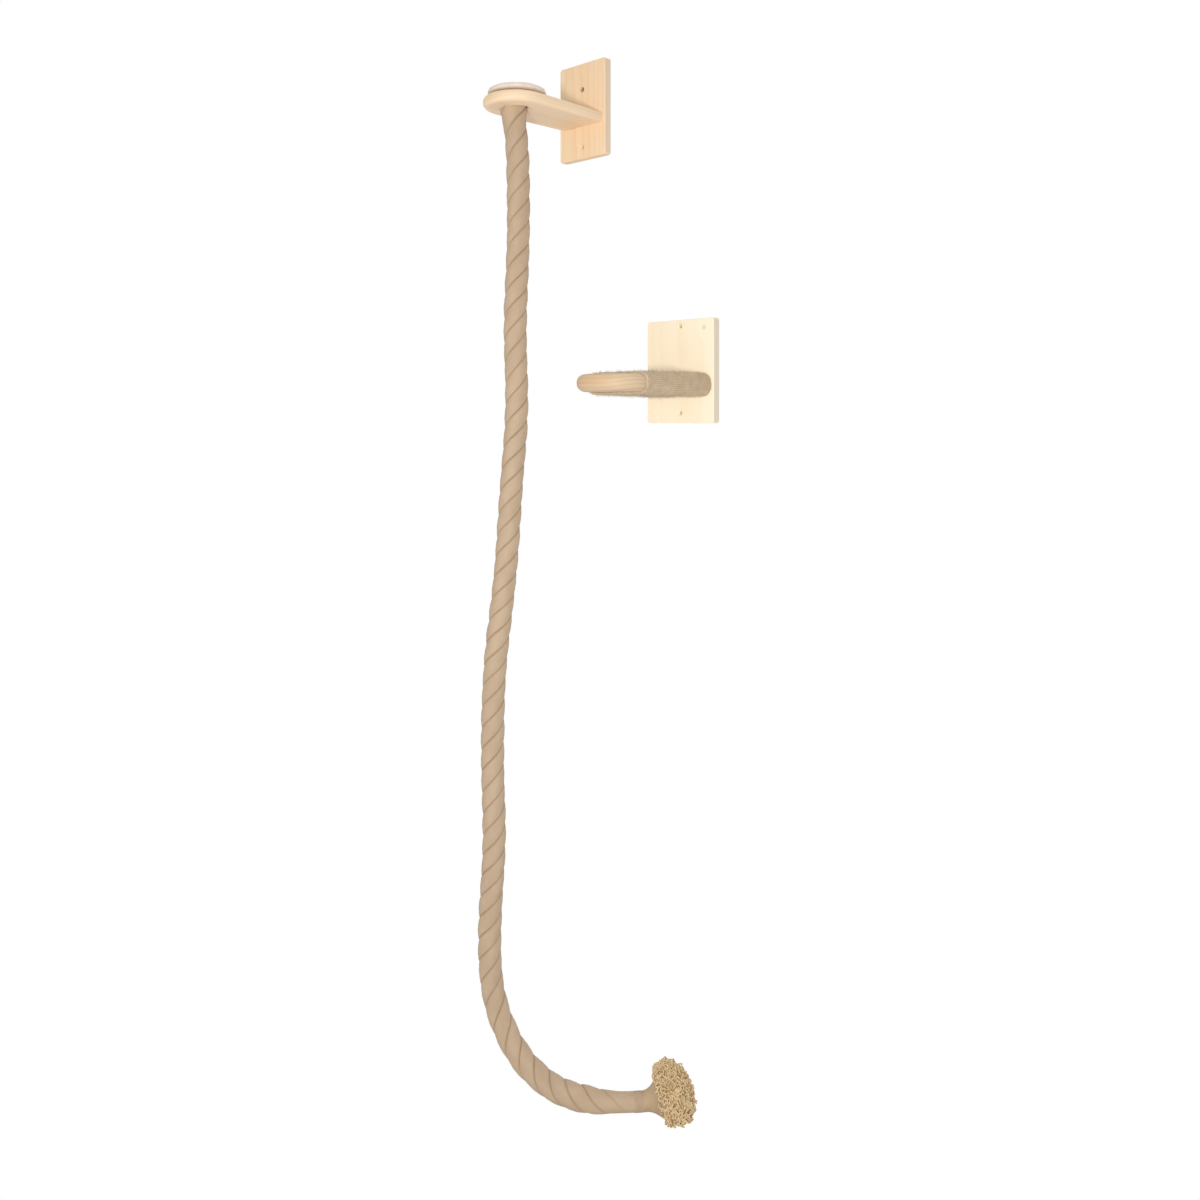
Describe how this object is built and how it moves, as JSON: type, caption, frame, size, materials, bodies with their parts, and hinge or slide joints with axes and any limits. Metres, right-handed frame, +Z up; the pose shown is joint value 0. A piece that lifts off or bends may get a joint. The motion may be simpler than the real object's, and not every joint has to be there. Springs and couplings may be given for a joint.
{
  "type": "cat climbing platform",
  "caption": "Wall-mounted cat climbing set: an oval wooden arm with a padded top carries a thick twisted hanging rope with a frayed end, beside a fabric-wrapped wooden step.",
  "frame": {"origin": "middle of the rope bracket's back face, on the wall", "axes": "+Y into the wall, +X to the right along the wall as seen from the room, +Z up"},
  "size_m": [0.4077, 0.2415, 1.8258],
  "materials": {
    "plate_wood": "sanded solid pine, oiled",
    "arm_wood": "rounded solid wood, oiled",
    "dowel_wood": "fluted beech",
    "ply": "thin birch plywood",
    "rope_fibre": "three-strand natural fibre rope",
    "wrap_fabric": "coarse jute fabric",
    "felt": "cream wool felt",
    "screw_steel": "zinc plated"
  },
  "bodies": {
    "wall_set": {"rope_bracket_plate": "plate_wood", "rope_bracket_dowels": "dowel_wood", "rope_bracket_screws": "screw_steel", "rope_bracket_arm": "arm_wood", "rope_head": "rope_fibre", "rope_wedge": "dowel_wood", "rope_cover_disc": "ply", "rope_cover_screws": "screw_steel", "tread_pad": "felt", "step_plate": "plate_wood", "step_dowels": "dowel_wood", "step_screws": "screw_steel", "step_arm": "arm_wood", "step_wrap": "wrap_fabric", "step_wrap_staples": "screw_steel"},
    "rope": {"climbing_rope": "rope_fibre", "rope_whipping": "rope_fibre", "rope_tassel": "rope_fibre"}
  },
  "joints": [
    {"name": "rope_swing", "type": "hinge", "parent": "wall_set", "child": "rope", "pos_m": [0, -0.18, -0.0499], "axis": [-1, 0, 0], "range_deg": [0, 30]}
  ]
}
